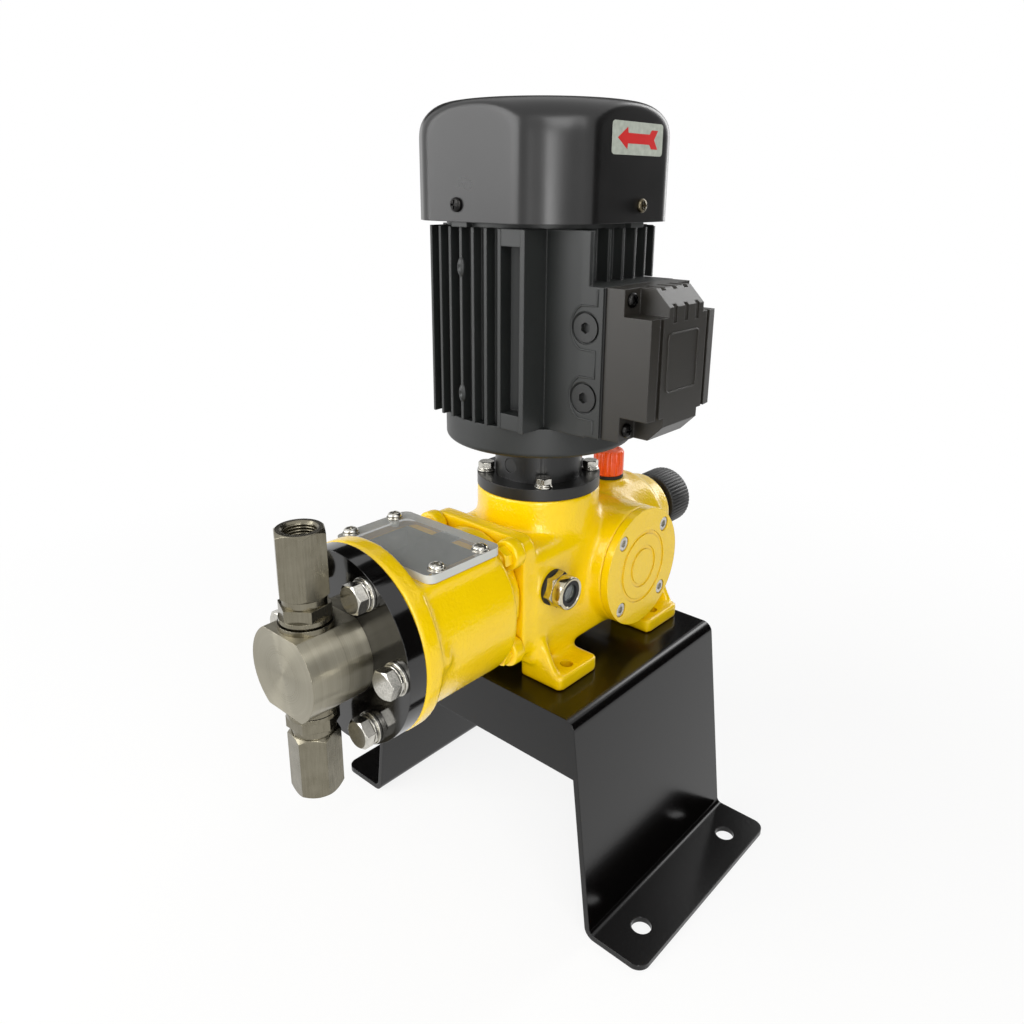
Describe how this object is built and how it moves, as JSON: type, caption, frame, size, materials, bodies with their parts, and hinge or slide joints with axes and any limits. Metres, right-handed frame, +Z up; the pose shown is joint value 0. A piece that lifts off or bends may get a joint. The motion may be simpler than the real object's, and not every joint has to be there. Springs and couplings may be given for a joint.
{
  "type": "plunger metering pump",
  "caption": "Motor-driven plunger metering pump: worm gearbox and clear-windowed lantern on a bent-sheet stand, with a stroke knob and a check valve above and below the pump head.",
  "frame": {"origin": "on the floor, at the centre of the four holes in the stand's feet", "axes": "+Z up along the motor shaft; the plunger runs along X with the pump head towards -X; -Y is the side with the terminal box"},
  "size_m": [0.4, 0.3072, 0.538],
  "materials": {
    "black_paint": "satin",
    "black_plastic": "matte",
    "bronze": "satin",
    "cast_iron": "matte",
    "chrome": "polished",
    "copper": "satin",
    "glass": "clear",
    "orange_plastic": "satin",
    "rubber": "matte",
    "stand_black": "satin",
    "steel": "satin",
    "steel_dark": "satin",
    "yellow": "gloss"
  },
  "bodies": {
    "pump_body": {"bearings": "steel", "blanking_plugs": "black_plastic", "discharge_valve_body": "steel", "fan_cowl": "black_paint", "gearbox_housing": "yellow", "gland_follower": "bronze", "gland_nut": "steel", "lantern": "yellow", "lantern_studs": "steel", "lid_gasket": "rubber", "lower_end_bell": "black_paint", "motor_adapter": "black_paint", "motor_adapter_bolts": "steel", "motor_cover_screws": "steel", "motor_frame": "black_paint", "oil_seals": "rubber", "packing_rings": "black_plastic", "pump_flange": "black_paint", "pump_flange_bolts": "steel", "pump_flange_washers": "steel", "pump_head": "steel", "return_spring": "steel_dark", "rod_bush": "bronze", "side_cover_far": "yellow", "side_cover_near": "yellow", "side_cover_screws": "steel", "sight_glass_body": "chrome", "sight_glass_lens": "glass", "sight_glass_seals": "rubber", "spindle_bush": "steel", "stand": "stand_black", "stator_core": "steel_dark", "stator_windings": "copper", "suction_valve_body": "steel", "terminal_block": "black_plastic", "terminal_lid": "black_paint", "upper_end_bell": "black_paint", "valve_adapters": "steel", "valve_seats": "steel", "window_plate": "glass", "window_screws": "steel"},
    "motor_rotor": {"motor_shaft": "steel", "rotor_core": "steel_dark", "fan": "black_plastic", "worm": "steel_dark"},
    "worm_gear": {"worm_wheel": "bronze", "wheel_shaft": "steel", "eccentrics": "steel_dark"},
    "plunger_train": {"yoke": "cast_iron", "push_rod": "steel", "plunger_coupling_nut": "steel", "plunger": "steel"},
    "knob": {"stroke_knob": "black_plastic", "knob_set_screw": "steel"},
    "spindle": {"adjusting_spindle": "steel"},
    "cap_lift_body": {"filler_cap_gasket": "rubber"},
    "cap_body": {"filler_cap": "orange_plastic"},
    "suction_ball_body": {"suction_valve_ball": "steel"},
    "discharge_ball_body": {"discharge_valve_ball": "steel"}
  },
  "joints": [
    {"name": "motor_spin", "type": "hinge", "parent": "pump_body", "child": "motor_rotor", "pos_m": [-0.0169, 0, 0.404], "axis": [0, 0, 1], "continuous": true},
    {"name": "wheel_turn", "type": "hinge", "parent": "pump_body", "child": "worm_gear", "pos_m": [0.0299, 0, 0.222], "axis": [0, 1, 0], "continuous": true},
    {"name": "plunger_stroke", "type": "slide", "parent": "pump_body", "child": "plunger_train", "axis": [1, 0, 0], "range_m": [0, 0.012]},
    {"name": "knob_turn", "type": "hinge", "parent": "pump_body", "child": "knob", "pos_m": [0.148, 0, 0.228], "axis": [1, 0, 0], "range_deg": [-1440, 0]},
    {"name": "spindle_slide", "type": "slide", "parent": "pump_body", "child": "spindle", "axis": [1, 0, 0], "range_m": [-0.012, 0]},
    {"name": "cap_turn", "type": "hinge", "parent": "cap_lift_body", "child": "cap_body", "pos_m": [0.0704, 0, 0.28], "axis": [0, 0, 1], "range_deg": [0, 1080]},
    {"name": "cap_lift", "type": "slide", "parent": "pump_body", "child": "cap_lift_body", "axis": [0, 0, 1], "range_m": [0, 0.009]},
    {"name": "suction_ball_lift", "type": "slide", "parent": "pump_body", "child": "suction_ball_body", "axis": [0, 0, 1], "range_m": [0, 0.003]},
    {"name": "discharge_ball_lift", "type": "slide", "parent": "pump_body", "child": "discharge_ball_body", "axis": [0, 0, 1], "range_m": [0, 0.003]}
  ],
  "couplings": [
    {"joint": "wheel_turn", "follows": "motor_spin", "ratio": -0.035714},
    {"joint": "spindle_slide", "follows": "knob_turn", "m_per_rad": 0.00047746},
    {"joint": "cap_lift", "follows": "cap_turn", "m_per_rad": 0.00047746}
  ]
}
